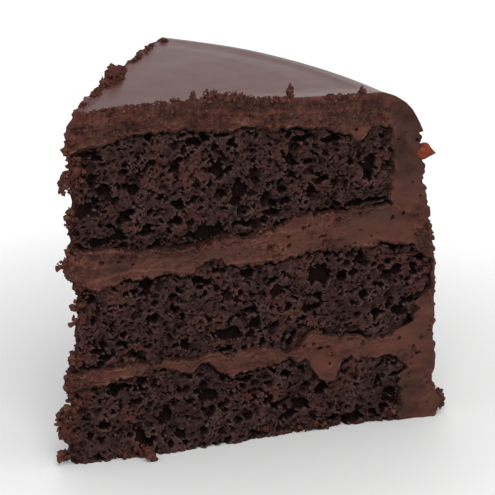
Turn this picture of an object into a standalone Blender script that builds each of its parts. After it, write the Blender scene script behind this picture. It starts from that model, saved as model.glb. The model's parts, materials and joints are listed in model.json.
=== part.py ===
"""A slice of three-layer chocolate cake: sponge, buttercream fillings, buttercream coat and dark glaze.

The slice is modelled around the upright axis of the whole round cake, which runs through the slice's tip.
The first cut face lies along +X, the inside of the slice is towards +Y, and Z points up.
Every piece is a block of quads whose corners are bent into the wedge, so its faces follow the cuts,
the rim and the layers above and below it.  At the end the slice is moved so that the middle of its
footprint stands on the origin.
"""

import math

import bmesh
import bpy
from mathutils import Vector

MM = 0.001

# The whole slice
WEDGE_ANGLE = math.radians(57.5)
FRONT_LENGTH = 101.6 * MM
BACK_LENGTH = 109.0 * MM
TIP_HEIGHT = 98.0 * MM
RIM_HEIGHT = 96.5 * MM
RIM_SAG = 1.9 * MM
TOP_CROWN = 0.8 * MM
TIP_BLUNT = 1.8 * MM
GAP = 0.3 * MM
COAT_GAP = 0.5 * MM

# The wall leans out below the shoulder and ends in a foot of smeared buttercream
SHOULDER_RADIUS = 14.5 * MM
WALL_LEAN = 2.6 * MM
WALL_BULGE = 3.9 * MM
BULGE_TOP = 72.0 * MM
BULGE_BAND = 26.0 * MM
WALL_WAVE = 0.6 * MM
WALL_WAVE_LENGTH = 9.0 * MM
FOOT_REACH = 3.6 * MM
FOOT_HEIGHT = 3.3 * MM
FOOT_BAND = 2.6 * MM
TIP_LEAN_TOP = 1.6 * MM
TIP_LEAN_BASE = 5.0 * MM

# Layers, as heights along the first cut face: at the tip, three points between, and the rim
SPONGE_BOTTOM_TOP = (20.2 * MM, 22.6 * MM, 19.4 * MM, 18.8 * MM, 19.0 * MM)
SPONGE_MIDDLE_BASE = (26.4 * MM, 25.8 * MM, 27.6 * MM, 27.2 * MM, 27.2 * MM)
SPONGE_MIDDLE_TOP = (48.8 * MM, 51.0 * MM, 50.7 * MM, 52.2 * MM, 52.2 * MM)
SPONGE_TOP_BASE = (61.4 * MM, 59.3 * MM, 60.2 * MM, 63.4 * MM, 63.9 * MM)
SPONGE_TOP_TOP = (86.6 * MM, 90.8 * MM, 88.6 * MM, 85.0 * MM, 86.6 * MM)
LAYER_WAVE = 0.4 * MM
WAVE_LENGTH = 7.0 * MM
WAVE_SHIFT = 3.0 * MM
WAVE_START = 12.0 * MM

# Coatings
GLAZE_AT_TIP = 3.2 * MM
GLAZE_AT_SHOULDER = 4.6 * MM
GLAZE_LIP = 2.4 * MM
LIP_BEAD = 0.8 * MM
COAT_THIN = 3.2 * MM
COAT_THICK = 10.6 * MM
MIDDLE_SPONGE_BAND = (29.0 * MM, 52.0 * MM)
BAND_FADE = 3.0 * MM

# Small features of the fillings
LOBE_REACH = 2.6 * MM
LOBE_FADE = 4.0 * MM
DRIP_POSITION = 74.0 * MM
DRIP_SPREAD = 9.0 * MM
DRIP_DROP = 2.6 * MM

# Number of quads along the flat top, down the shoulder, round the wedge and through a layer
FLAT_ROWS = 15
SHOULDER_ROWS = 7
ROUND = 12
LAYER_ROWS = 4

BISECTOR = Vector((math.cos(WEDGE_ANGLE / 2), math.sin(WEDGE_ANGLE / 2), 0))


def smooth(t):
    """0 below 0, 1 above 1, with an even slope at both ends."""
    t = min(max(t, 0.0), 1.0)
    return t * t * (3 - 2 * t)


def bump(distance, width):
    return math.exp(-((distance / width) ** 2))


def polar(radius, angle, height):
    """A point of the wedge; the axis leans out at the tip, more towards the base."""
    lean = TIP_LEAN_TOP + (TIP_LEAN_BASE - TIP_LEAN_TOP) * (1 - height / TIP_HEIGHT)
    across = Vector((math.cos(angle), math.sin(angle), 0)) * radius
    return across - BISECTOR * lean + Vector((0, 0, height))


def rim_radius(angle):
    return FRONT_LENGTH + (BACK_LENGTH - FRONT_LENGTH) * angle / WEDGE_ANGLE


def rim_height(angle):
    """The rim dips a little between the two cut faces, nearer to the first."""
    turn = min(max(angle / WEDGE_ANGLE, 0.0), 1.0)
    return RIM_HEIGHT - RIM_SAG * math.sin(math.pi * turn**0.6)


def wall_radius(angle, height):
    """The outside of the side coat."""
    lean = WALL_LEAN * (1 - height / (RIM_HEIGHT - SHOULDER_RADIUS))
    bulge = WALL_BULGE * smooth((BULGE_TOP - height) / BULGE_BAND)
    uneven = WALL_WAVE * math.sin(7 * angle + height / WALL_WAVE_LENGTH) * math.sin(angle)
    foot = FOOT_REACH * (0.7 + 0.3 * math.cos(6 * angle)) * bump(height - FOOT_HEIGHT, FOOT_BAND)
    return rim_radius(angle) + lean + bulge + uneven + foot


def top_height(radius, angle):
    """The upper side of the glaze, from the tip to where the shoulder starts."""
    along = min(max(radius / roof_end(angle), 0.0), 1.0)
    crown = TOP_CROWN * 4 * along * (1 - along)
    return TIP_HEIGHT + (rim_height(angle) - TIP_HEIGHT) * along + crown


def through(levels, along):
    """A smooth curve through evenly spaced levels, with along going from 0 at the first to 1 at the last."""
    spans = len(levels) - 1
    first = min(int(along * spans), spans - 1)
    t = along * spans - first
    before, start, end, after = (levels[min(max(first + step, 0), spans)] for step in (-1, 0, 1, 2))
    slope, bend = end - before, 2 * before - 5 * start + 4 * end - after
    return start + t * (slope + t * (bend + t * (3 * (start - end) + after - before))) / 2


def layer_height(levels, radius, angle):
    """A wavy surface through the layer's heights. It runs on level once it is within the side coat."""
    radius = min(radius, rim_radius(angle) - COAT_THICK)
    wave = LAYER_WAVE * math.sin(radius / WAVE_LENGTH + 5 * angle + levels[0] / WAVE_SHIFT)
    return through(levels, max(radius, 0.0) / rim_radius(angle)) + wave * smooth(radius / WAVE_START)


def drip(radius, angle):
    """How far the lower filling sags over the bottom sponge near the rim end of the first cut."""
    return DRIP_DROP * bump(radius - DRIP_POSITION, DRIP_SPREAD) * bump(angle, 0.3)


def lower_filling_base(radius, angle):
    return layer_height(SPONGE_BOTTOM_TOP, radius, angle) - drip(radius, angle)


def coat_inner_radius(angle, height):
    """The coat is thick, except where the middle sponge reaches out to the wall."""
    low, high = MIDDLE_SPONGE_BAND
    above = smooth((height - low + BAND_FADE) / (2 * BAND_FADE))
    below = smooth((high + BAND_FADE - height) / (2 * BAND_FADE))
    thickness = COAT_THICK + (COAT_THIN - COAT_THICK) * above * below
    return wall_radius(angle, max(height, FOOT_HEIGHT + 3 * FOOT_BAND)) - thickness


def bent_block(name, counts, place, material):
    """A box of quads, counts[0] by counts[1] by counts[2], with place(u, v, w) for every corner."""
    build = bmesh.new()
    bmesh.ops.create_cube(build, size=1)
    bmesh.ops.translate(build, verts=build.verts, vec=(0.5, 0.5, 0.5))
    for axis, count in enumerate(counts):
        along = [edge for edge in build.edges if abs(edge.verts[0].co[axis] - edge.verts[1].co[axis]) > 1e-4]
        if count > 1:
            bmesh.ops.subdivide_edges(build, edges=along, cuts=count - 1, use_grid_fill=True)
    for vertex in build.verts:
        vertex.co = place(*vertex.co)
    bmesh.ops.recalc_face_normals(build, faces=build.faces)
    mesh = bpy.data.meshes.new(name)
    build.to_mesh(mesh)
    build.free()
    mesh.shade_smooth()
    mesh.set_sharp_from_angle(angle=math.radians(40))
    mesh.materials.append(material)
    piece = bpy.data.objects.new(name, mesh)
    slice_collection.objects.link(piece)
    return piece


def roof_end(angle):
    """The radius where the flat top ends and the rounded shoulder starts."""
    return rim_radius(angle) - SHOULDER_RADIUS


def station(row, angle):
    """The radius of a row of corners, the same in every layer, so that stacked layers stay a gap apart."""
    return TIP_BLUNT + (roof_end(angle) - TIP_BLUNT) * row / FLAT_ROWS


def layer_piece(name, base, top, material, lobe=0.0):
    """A sponge layer or a filling between two height functions, from the tip to the side coat."""

    def place(u, v, w):
        angle = v * WEDGE_ANGLE
        row = round(u * (FLAT_ROWS + 1))
        radius = station(min(row, FLAT_ROWS), angle)
        if row > FLAT_ROWS:
            rim = rim_radius(angle)
            radius = coat_inner_radius(angle, base(rim, angle) * (1 - w) + top(rim, angle) * w) - COAT_GAP
        height = base(radius, angle) * (1 - w) + top(radius, angle) * w
        swell = lobe * math.sqrt(max(1 - (2 * w - 1) ** 2, 0)) * math.exp(-radius / LOBE_FADE)
        return polar(radius, angle, height) - BISECTOR * swell

    return bent_block(name, (FLAT_ROWS + 1, ROUND, LAYER_ROWS), place, material)


def roof_underside(radius, angle):
    """The underside of the glaze, which the buttercream roof meets."""
    along = radius / roof_end(angle)
    thickness = GLAZE_AT_TIP + (GLAZE_AT_SHOULDER - GLAZE_AT_TIP) * min(along, 1.0)
    return top_height(radius, angle) - thickness


def shoulder_point(angle, turn, depth):
    """A point on the rounded shoulder, turn going from 0 on top to 1 at the wall, depth inwards."""
    centre_radius = roof_end(angle)
    centre_height = top_height(centre_radius, angle) - SHOULDER_RADIUS
    sweep = turn * math.pi / 2
    reach = SHOULDER_RADIUS - depth
    return centre_radius + reach * math.sin(sweep), centre_height + reach * math.cos(sweep)


def glaze_thickness(turn):
    """The glaze thins from the top of the shoulder to its lip."""
    return GLAZE_AT_SHOULDER + (GLAZE_LIP - GLAZE_AT_SHOULDER) * smooth(turn)


def make_glaze(material):
    """The glaze cap: flat over the top, rolled over the shoulder, ending in a thin rounded lip."""
    rows = FLAT_ROWS + SHOULDER_ROWS

    def place(u, v, w):
        angle = v * WEDGE_ANGLE
        row = round(u * rows)
        if row <= FLAT_ROWS:
            radius = station(row, angle)
            height = roof_underside(radius, angle) * (1 - w) + top_height(radius, angle) * w
        else:
            turn = (row - FLAT_ROWS) / SHOULDER_ROWS
            bead = LIP_BEAD * bump(turn - 0.95, 0.12) * w
            radius, height = shoulder_point(angle, turn, glaze_thickness(turn) * (1 - w) - bead)
        return polar(radius, angle, height)

    return bent_block("glaze", (rows, ROUND, 2), place, material)


def wall_heights(angle):
    """The heights of the side coat's rows, from the top down, one for each row of each layer."""
    radius = rim_radius(angle) - COAT_THICK
    levels = (SPONGE_TOP_TOP, SPONGE_TOP_BASE, SPONGE_MIDDLE_TOP, SPONGE_MIDDLE_BASE)
    edges = [layer_height(level_set, radius, angle) for level_set in levels]
    edges += [lower_filling_base(radius, angle), 0.0]
    rows = [edges[0]]
    for high, low in zip(edges, edges[1:]):
        rows += [high + (low - high) * row / LAYER_ROWS for row in range(1, LAYER_ROWS + 1)]
    return rows


def make_coat(material):
    """The buttercream coat: a roof over the top sponge and a wall round the rim, as one bent slab."""
    rows = FLAT_ROWS + SHOULDER_ROWS + 5 * LAYER_ROWS

    def section(row, angle):
        """The inner and outer point, each as radius and height, of one row of the slab."""
        heights = wall_heights(angle)
        corner_radius = coat_inner_radius(angle, heights[0])
        if row <= FLAT_ROWS:
            radius = station(row, angle)
            inside = (radius, layer_height(SPONGE_TOP_TOP, radius, angle) + COAT_GAP)
            return inside, (radius, roof_underside(radius, angle) - GAP)
        if row <= FLAT_ROWS + SHOULDER_ROWS:
            turn = (row - FLAT_ROWS) / SHOULDER_ROWS
            radius = roof_end(angle) + (corner_radius - roof_end(angle)) * turn
            inside = (radius, layer_height(SPONGE_TOP_TOP, radius, angle) + COAT_GAP)
            return inside, shoulder_point(angle, turn, glaze_thickness(turn) + GAP)
        step = row - FLAT_ROWS - SHOULDER_ROWS
        lip_height = shoulder_point(angle, 1.0, 0.0)[1] - GAP
        outer_height = lip_height * heights[step] / heights[0]
        inside = (coat_inner_radius(angle, heights[step]), heights[step])
        return inside, (wall_radius(angle, outer_height), outer_height)

    def place(u, v, w):
        angle = v * WEDGE_ANGLE
        inside, outside = section(round(u * rows), angle)
        radius = inside[0] * (1 - w) + outside[0] * w
        height = inside[1] * (1 - w) + outside[1] * w
        return polar(radius, angle, height)

    return bent_block("buttercream_coat", (rows, ROUND, 2), place, material)


def make_material(name, colour, roughness):
    material = bpy.data.materials.new(name)
    material.use_nodes = True
    shader = material.node_tree.nodes["Principled BSDF"]
    shader.inputs["Base Color"].default_value = (*colour, 1)
    shader.inputs["Roughness"].default_value = roughness
    shader.inputs["Metallic"].default_value = 0.0
    material.diffuse_color = (*colour, 1)
    return material


def board(radius, angle):
    """The flat surface that the cake stands on."""
    return 0.0


def surface(levels, offset=0.0):
    """The height function of one of the layer surfaces."""
    return lambda radius, angle: layer_height(levels, radius, angle) + offset


def bottom_sponge_top(radius, angle):
    return lower_filling_base(radius, angle) - GAP


def stand_on_origin(pieces):
    """Moves the pieces together, so that the middle of the footprint is on the origin."""
    points = [vertex.co for piece in pieces for vertex in piece.data.vertices]
    lowest = Vector([min(point[axis] for point in points) for axis in range(3)])
    highest = Vector([max(point[axis] for point in points) for axis in range(3)])
    shift = Vector((-(lowest.x + highest.x) / 2, -(lowest.y + highest.y) / 2, -lowest.z))
    for piece in pieces:
        piece.location = shift


for thing in list(bpy.data.objects):
    bpy.data.objects.remove(thing, do_unlink=True)
slice_collection = bpy.data.collections.new("chocolate_cake_slice")
bpy.context.scene.collection.children.link(slice_collection)

sponge = make_material("chocolate_sponge", (0.022, 0.011, 0.010), 0.9)
buttercream = make_material("chocolate_buttercream", (0.078, 0.031, 0.024), 0.6)
ganache = make_material("dark_glaze", (0.045, 0.022, 0.018), 0.3)

middle_base = surface(SPONGE_MIDDLE_BASE)
middle_top = surface(SPONGE_MIDDLE_TOP)
upper_base = surface(SPONGE_TOP_BASE)
upper_top = surface(SPONGE_TOP_TOP)
lower_cream_top = surface(SPONGE_MIDDLE_BASE, -GAP)
upper_cream_base = surface(SPONGE_MIDDLE_TOP, GAP)
upper_cream_top = surface(SPONGE_TOP_BASE, -GAP)

pieces = [
    layer_piece("sponge_bottom", board, bottom_sponge_top, sponge),
    layer_piece("filling_lower", lower_filling_base, lower_cream_top, buttercream, LOBE_REACH),
    layer_piece("sponge_middle", middle_base, middle_top, sponge),
    layer_piece("filling_upper", upper_cream_base, upper_cream_top, buttercream, LOBE_REACH),
    layer_piece("sponge_top", upper_base, upper_top, sponge),
    make_coat(buttercream),
    make_glaze(ganache),
]
stand_on_origin(pieces)
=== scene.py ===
"""The looks of a slice of chocolate cake: open sponge, buttercream fillings and coat, satin glaze and crumbs.

Every piece is worked out in the slice's own directions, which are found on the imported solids:
the distance from the line of the tip, the turn from the first cut face, and the height.
"""

import json
import math

import bmesh
import bpy
import numpy as np
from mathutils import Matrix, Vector
from mathutils.bvhtree import BVHTree

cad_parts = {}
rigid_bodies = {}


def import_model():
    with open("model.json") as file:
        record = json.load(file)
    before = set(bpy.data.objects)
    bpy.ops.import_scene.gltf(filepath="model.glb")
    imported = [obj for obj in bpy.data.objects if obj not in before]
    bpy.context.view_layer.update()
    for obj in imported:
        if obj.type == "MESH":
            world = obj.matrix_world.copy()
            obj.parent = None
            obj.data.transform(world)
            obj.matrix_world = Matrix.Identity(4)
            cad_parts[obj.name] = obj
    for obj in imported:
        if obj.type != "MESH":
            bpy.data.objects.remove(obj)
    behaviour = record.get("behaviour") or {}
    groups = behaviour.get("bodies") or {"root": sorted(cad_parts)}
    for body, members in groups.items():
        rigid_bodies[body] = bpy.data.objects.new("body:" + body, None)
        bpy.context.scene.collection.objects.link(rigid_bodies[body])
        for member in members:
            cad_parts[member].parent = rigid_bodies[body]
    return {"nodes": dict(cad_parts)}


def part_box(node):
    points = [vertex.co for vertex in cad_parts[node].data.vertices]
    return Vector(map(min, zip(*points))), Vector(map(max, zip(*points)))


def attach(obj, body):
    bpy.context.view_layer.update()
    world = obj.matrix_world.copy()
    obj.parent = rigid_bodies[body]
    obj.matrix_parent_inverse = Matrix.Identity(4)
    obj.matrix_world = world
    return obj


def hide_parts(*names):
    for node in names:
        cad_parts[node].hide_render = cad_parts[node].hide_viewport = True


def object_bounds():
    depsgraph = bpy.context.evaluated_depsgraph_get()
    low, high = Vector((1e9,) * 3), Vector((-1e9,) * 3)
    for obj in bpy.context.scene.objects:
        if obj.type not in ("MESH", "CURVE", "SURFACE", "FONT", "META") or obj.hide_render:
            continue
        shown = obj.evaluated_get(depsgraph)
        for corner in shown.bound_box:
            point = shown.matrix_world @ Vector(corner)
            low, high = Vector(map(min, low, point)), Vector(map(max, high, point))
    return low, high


MM = 0.001

# Camera, floor and light
VIEW_TURN = math.radians(-19.42)
VIEW_RISE = math.radians(18.03)
VIEW_DISTANCE = 0.8
VIEW_LENS = 210.2
AIM_ALONG = 51.34 * MM
AIM_INWARDS = 4.81 * MM
AIM_HEIGHT = 54.36 * MM
FLOOR_SIZE = 3.0
# The floor's painted shade: FLOOR_NEAR round the middle fades to FLOOR_FAR between these distances, in metres
FLOOR_FADE = (0.075, 0.22)
FLOOR_NEAR = (0.61, 0.61, 0.61)
FLOOR_FAR = (0.82, 0.82, 0.82)
SKY_STRENGTH = 1.0
# Two soft lamps: the name, where it stands, where it points, how wide it is and its power
LAMPS = (
    ("window", (0.15, 1.1, 0.8), (0.15, 0.8, 0.0), 0.7, 1.5),
    ("reflector", (-0.22, -0.97, 1.0), (0.0, 0.0, 0.03), 0.8, 12.5),
)

# How finely the solids are surveyed
SURVEY_RADII = 16
SURVEY_TURNS = 9
SURVEY_LEVELS = 24
NEAREST = 3.0 * MM
FARTHEST = 86.0 * MM
OUTSIDE = 200 * MM
# The radii at which waves run round the sponge and round the coat's wall
SPONGE_RADIUS = 90 * MM
WALL_RADIUS = 100 * MM

# The open crumb of the sponge, as the size in millimetres of the cell that may hold one pore, how many
# cells do, and the pore's least and greatest radius as shares of the cell
PORES = ((4.0, 0.50, 0.26, 0.50), (2.2, 0.90, 0.32, 0.58), (1.25, 0.90, 0.33, 0.56), (0.75, 0.65, 0.34, 0.54))
PORE_FLATNESS = 1.15
PORE_WEB = 0.12 * MM
PORE_DEPTH = 4.0 * MM
PORE_PASSES = 3
PORE_WARP = 0.5 * MM
TIP_SLIMNESS = 0.35
TIP_ALLOWANCE = 1.0 * MM
SPONGE_SETBACK = 0.6 * MM
SEAM_GAP = 2.2 * MM

# Buttercream on a cut face stands a little proud of the sponge, with small air holes
AIR_HOLES = ((3.2, 0.45, 0.10, 0.24), (1.6, 0.50, 0.16, 0.31))
HOLE_FLATNESS = 1.3
SPREAD_SEED = 6
SPREAD_PROUD = 0.35 * MM
LIP_REACH = 0.4 * MM
STRAND_REACH = 0.55 * MM
GRAIN_DEPTH = 0.8 * MM
HOLE_DEPTH = 1.2 * MM
OVERLAP = 0.2 * MM

# The tunnels of the crumb that the first cut opened: the middle along the cut and up it, and the half
# length and half height, in millimetres
TUNNELS = (
    (16.6, 69.2, 1.9, 1.1), (29.7, 65.8, 2, 1.2), (38, 61.4, 6.5, 1.7), (49, 63, 3.2, 0.9),
    (88, 66, 5, 0.7), (14, 62.6, 2.4, 0.9), (22, 63.2, 2.2, 0.8), (29.2, 80.3, 1.3, 0.9),
    (35, 87.6, 2.2, 1.3), (9.4, 75.8, 1.2, 0.9), (6, 86.6, 3, 0.7), (40.9, 85.1, 1.6, 1),
    (45, 78.2, 1.4, 1), (63.5, 78.6, 1.8, 1.1), (66, 85.4, 3.4, 0.9), (47.5, 69.4, 1.9, 1.1),
    (74, 84.5, 3.4, 1.2), (86.6, 76.4, 1.9, 2.3), (72.7, 73.2, 2.2, 1), (58.3, 65.4, 2.6, 1),
    (82.2, 65.5, 3, 0.8), (31, 89.7, 1.6, 0.9), (29.4, 44.4, 1.3, 1), (38, 43.7, 0.9, 0.8),
    (30.3, 40.6, 1, 0.8), (45.3, 31.6, 4, 1.5), (49.4, 43.3, 1.2, 1), (22.8, 38.9, 1.2, 0.8),
    (14.9, 32.3, 1.8, 0.8), (34, 29.5, 1.2, 0.8), (23.3, 50.3, 2.4, 0.7), (37.4, 48.1, 1, 0.8),
    (8.4, 30.8, 2.6, 0.9), (72.3, 46, 3.2, 2.7), (96, 45.1, 1.9, 2), (100.7, 43.4, 1.5, 1.2),
    (70.2, 36.6, 3.4, 1.3), (59.3, 45.7, 1.3, 1), (53.7, 33.8, 1.3, 2), (85.7, 38.3, 1.5, 1.1),
    (92.1, 53.1, 1.9, 0.9), (97.2, 32.6, 2.2, 1.4), (82.5, 45.4, 1.1, 0.9), (15.1, 19.9, 2.6, 1.2),
    (27.6, 9.5, 2.2, 1.9), (20.4, 4.6, 2.4, 1.9), (40.4, 14.2, 3, 1.7), (51.5, 17.7, 2.4, 0.9),
    (67.5, 8, 2.6, 1.5), (60.3, 8.9, 1.4, 1), (63, 18, 1.6, 0.9), (74.6, 12.6, 1.8, 0.8),
    (77.9, 3, 1.9, 0.8),
)
TUNNEL_DEPTH = 3.6 * MM

# Marks in the first cut's buttercream: the middle and half sizes as above, how much lighter (or darker) and
# how much fuller of crumb (or smoother) it is there, and how many millimetres deep (or proud) it lies.
# The darkening of sunk marks, as the air holes, is painted shade, and the lightening of proud lips is a
# painted highlight; flat marks keep the buttercream's own lighter or darker tone
SMEARS_AND_PAINTED_LIGHT = (
    (45.5, 97.5, 6.5, 2, -0.6, -0.3, 0), (6, 92.5, 6, 3.5, -0.25, 0.1, 0),
    (6, 93.5, 4.5, 1.4, -0.4, 0.1, 0.3), (17, 93.5, 6, 1.5, -0.3, 0.2, 0),
    (30, 96, 9, 1.2, -0.25, 0.2, 0), (60, 96.4, 9, 1.2, -0.25, 0.2, 0),
    (82, 92, 9, 3.6, -0.45, 0.8, 0), (87, 89, 5, 1.8, -0.4, 0.8, 0.2),
    (56, 95, 7, 3, -0.2, 0.2, 0), (75, 95, 5, 1.6, -0.2, 0.6, 0),
    (83, 86, 1.6, 2.2, 0.1, -0.9, -0.5), (95.3, 80.3, 3.4, 3.7, -0.85, 0, 0),
    (97, 87.5, 6.5, 7, -0.5, -0.9, 0), (99, 75, 7, 9, -0.2, -0.2, 0), (100, 8, 6, 8, -0.5, -0.4, 0),
    (103, 50, 2.6, 6, -0.5, 0.9, 0), (20, 57.5, 17, 1.9, -0.45, 0.3, 0), (52, 55.5, 9, 3, 0.2, 0.3, 0),
    (86, 57, 8, 4, 0.15, -0.4, 0), (1, 21, 7, 4, -0.6, 0.9, 0), (74, 19, 4, 5, 0.15, -0.5, 0),
    (98, 27, 6, 5, 0.1, -0.4, 0), (93.3, 60.3, 0.5, 0.8, -1.2, 0.3, 1.4),
    (96.6, 61.4, 0.4, 0.5, -1.2, 0, 1.2), (67.1, 60.1, 0.6, 0.4, -1, 0.2, 1.2),
    (72.5, 57.2, 1.5, 0.4, -1, 0.2, 1), (62.8, 55.4, 0.7, 0.5, -1, 0.2, 1),
    (60.2, 53.4, 0.8, 1, -0.5, 0.8, 0.7), (53.6, 61, 1.4, 0.7, 0.5, -0.3, -0.8),
    (79, 60.6, 3.4, 1.4, -0.3, 0.6, 0.4), (89, 53.4, 3.2, 1, 0, 0.8, 0.3),
    (75.5, 54.6, 4.5, 1.3, 0, 0.8, 0.4), (101, 58, 3, 6, -0.15, 0.5, 0),
    (60.8, 52.2, 0.6, 1.7, 0.8, 0.1, -0.6), (50, 52.4, 8.5, 0.45, 0.7, 0, -0.5),
    (46, 59, 3, 1, -0.5, 0.9, -0.6), (50.5, 61.2, 1.6, 0.8, 0.3, 0.6, -0.9),
    (65, 57.5, 5, 2.6, 0.3, -0.2, 0), (61, 59.5, 4, 1, 0.35, 0.3, -0.3),
    (70, 54.8, 2.4, 0.8, -0.1, 0.9, 0.4), (58, 55.2, 1.6, 1.2, -0.35, 0.9, 0.4),
    (44, 55.5, 7, 1.4, -0.35, -0.3, 0), (84, 62.5, 3.4, 0.8, -0.35, 0.8, 0.3),
    (77.5, 61.5, 0.7, 0.5, -0.8, 0.6, 0.8), (101.5, 66, 0.5, 0.6, -0.8, 0.2, 0.8),
    (99, 70, 0.4, 0.5, -0.8, 0.2, 0.7), (82.8, 26, 1.6, 0.5, -0.8, 0.4, 0.8),
    (85.8, 24.4, 0.6, 0.9, -0.8, 0.4, 0.8), (96.9, 24.6, 0.5, 0.5, -0.9, 0.2, 1),
    (101.3, 21.1, 0.5, 1.1, -0.6, 0.4, 0.8), (103.6, 24.1, 0.4, 0.7, -0.9, 0.2, 0.9),
    (98.9, 19.3, 2, 1.2, 0.1, 0.6, -0.4), (76, 22.8, 1.5, 0.7, 0.1, 0.6, -0.3),
)

for thing in list(bpy.data.objects):
    bpy.data.objects.remove(thing, do_unlink=True)
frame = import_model()
cad_low, cad_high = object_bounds()


# ------------ plain makers


def linked(name, data):
    """A new object of this mesh, lamp or camera, in the scene."""
    made = bpy.data.objects.new(name, data)
    bpy.context.scene.collection.objects.link(made)
    return made


def smooth_piece(name, points, faces):
    mesh = bpy.data.meshes.new(name)
    mesh.from_pydata(points, [], faces)
    mesh.shade_smooth()
    return linked(name, mesh)


def ball_of(detail):
    """Points and faces of a ball of radius 1."""
    work = bmesh.new()
    bmesh.ops.create_icosphere(work, subdivisions=detail, radius=1.0)
    points = np.array([vertex.co for vertex in work.verts])
    faces = [[vertex.index for vertex in face.verts] for face in work.faces]
    work.free()
    return points, faces


# ------------ repeatable noise and soft steps


def lattice(i, j, k, seed):
    """A repeatable random number from 0 to 1 for every corner of a lattice."""
    mixed = (i * 374761393 + j * 668265263 + k * 2147483647 + seed * 1274126177) & 0xFFFFFFFF
    mixed = ((mixed ^ (mixed >> 13)) * 1274126177) & 0xFFFFFFFF
    return (mixed ^ (mixed >> 16)) / 2.0**32


def noise(x, y, z, size, seed):
    """Smooth noise from -1 to 1, whose hills are about size across."""
    corner, part = [], []
    for value in np.broadcast_arrays(x, y, z):
        floor = np.floor(value / size)
        corner.append(floor.astype(np.int64))
        part.append(ease(value / size - floor))
    total = 0.0
    for step in np.ndindex(2, 2, 2):
        weight = 1.0
        for axis in range(3):
            weight = weight * (part[axis] if step[axis] else 1 - part[axis])
        total = total + weight * lattice(*(c + s for c, s in zip(corner, step)), seed)
    return 2 * total - 1


def waves(x, y, size, seed):
    """Flat noise from -1 to 1, whose hills are about size millimetres across."""
    return noise(x, y, 0.0, size * MM, seed)


def ease(t):
    """0 below 0 and 1 above 1, with an even slope at both ends."""
    t = np.clip(t, 0.0, 1.0)
    return t * t * (3 - 2 * t)


def rising(value, start, width):
    """0 below start, and 1 from width millimetres above it."""
    return ease((value - start * MM) / (width * MM))


def falling(value, end, width):
    """0 above end, and 1 from width millimetres below it."""
    return ease((end * MM - value) / (width * MM))


def profile(*pairs):
    """The height at every place along a line, from places and their heights in millimetres."""
    places, heights = np.array(pairs).T * MM
    return lambda spot: np.interp(spot, places, heights)


def mix(a, b, t):
    return a * (1 - t) + b * t


def bump(distance, width):
    return np.exp(-((distance / width) ** 2))


# ------------ the slice's own directions


def tree_of(*names):
    """What rays are cast at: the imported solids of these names."""
    corners, faces = [], []
    for name in names:
        mesh = frame["nodes"][name].data
        first = len(corners)
        corners += [vertex.co.copy() for vertex in mesh.vertices]
        faces += [[first + index for index in face.vertices] for face in mesh.polygons]
    return BVHTree.FromPolygons(corners, faces)


SOLIDS = {name: tree_of(name) for name in frame["nodes"]}
WHOLE = tree_of(*frame["nodes"])


def cut_plane(from_side, shares):
    """A point and the outward normal of a cut face, from three rays cast at it along Y."""
    length = cad_high.x - cad_low.x
    heights = [sum(corner.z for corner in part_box(name)) / 2 for name in ("sponge_middle", "sponge_bottom")]
    hits = []
    for share, height in zip(shares, (heights[0], heights[0], heights[1])):
        start = Vector((cad_low.x + share * length, from_side, height))
        hits.append(WHOLE.ray_cast(start, Vector((0, -from_side, 0)))[0])
    normal = (hits[1] - hits[0]).cross(hits[2] - hits[0]).normalized()
    return hits[0], normal * (1 if normal.y * from_side > 0 else -1)


FRONT_POINT, FRONT_NORMAL = cut_plane(-1.0, (0.4, 0.75, 0.5))
BACK_POINT, BACK_NORMAL = cut_plane(1.0, (0.2, 0.4, 0.3))


def level_line(normal, towards):
    line = Vector((0, 0, 1)).cross(normal).normalized()
    return line if line.dot(towards) > 0 else -line


FRONT_LINE = level_line(FRONT_NORMAL, Vector((1, 0, 0)))
BACK_LINE = level_line(BACK_NORMAL, Vector((1, 1, 0)))
INWARDS = Vector((-FRONT_LINE.y, FRONT_LINE.x, 0))
ANGLE = FRONT_LINE.angle(BACK_LINE)
BISECTOR = np.array((FRONT_LINE + BACK_LINE).normalized())
# The same directions as arrays: along the first cut, away from it into the slice, out of each cut, and up
ALONG, ACROSS, UP = np.array(FRONT_LINE), np.array(INWARDS), np.array((0.0, 0.0, 1.0))
OUT_OF_FRONT, OUT_OF_BACK = np.array(FRONT_NORMAL), np.array(BACK_NORMAL)


def tip_at(height):
    """Where the two cut faces meet at this height."""
    reach_front = FRONT_NORMAL.dot(FRONT_POINT) - FRONT_NORMAL.z * height
    reach_back = BACK_NORMAL.dot(BACK_POINT) - BACK_NORMAL.z * height
    spread = FRONT_NORMAL.x * BACK_NORMAL.y - FRONT_NORMAL.y * BACK_NORMAL.x
    x = (reach_front * BACK_NORMAL.y - reach_back * FRONT_NORMAL.y) / spread
    y = (reach_back * FRONT_NORMAL.x - reach_front * BACK_NORMAL.x) / spread
    return Vector((x, y, height))


TIP_FOOT = tip_at(0.0)
TIP_RISE = tip_at(1.0) - TIP_FOOT


def placed(radius, turn, height):
    """Points of the slice, from their distance from the tip line, turn from the first cut and height."""
    radius, turn, height = np.broadcast_arrays(radius, turn, height)
    along, inwards = radius * np.cos(turn), radius * np.sin(turn)
    rows = ((along, ALONG), (inwards, ACROSS), (height, np.array(TIP_RISE)))
    return np.array(TIP_FOOT) + sum(row[..., None] * axis for row, axis in rows)


# ------------ a survey of the solids


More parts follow.
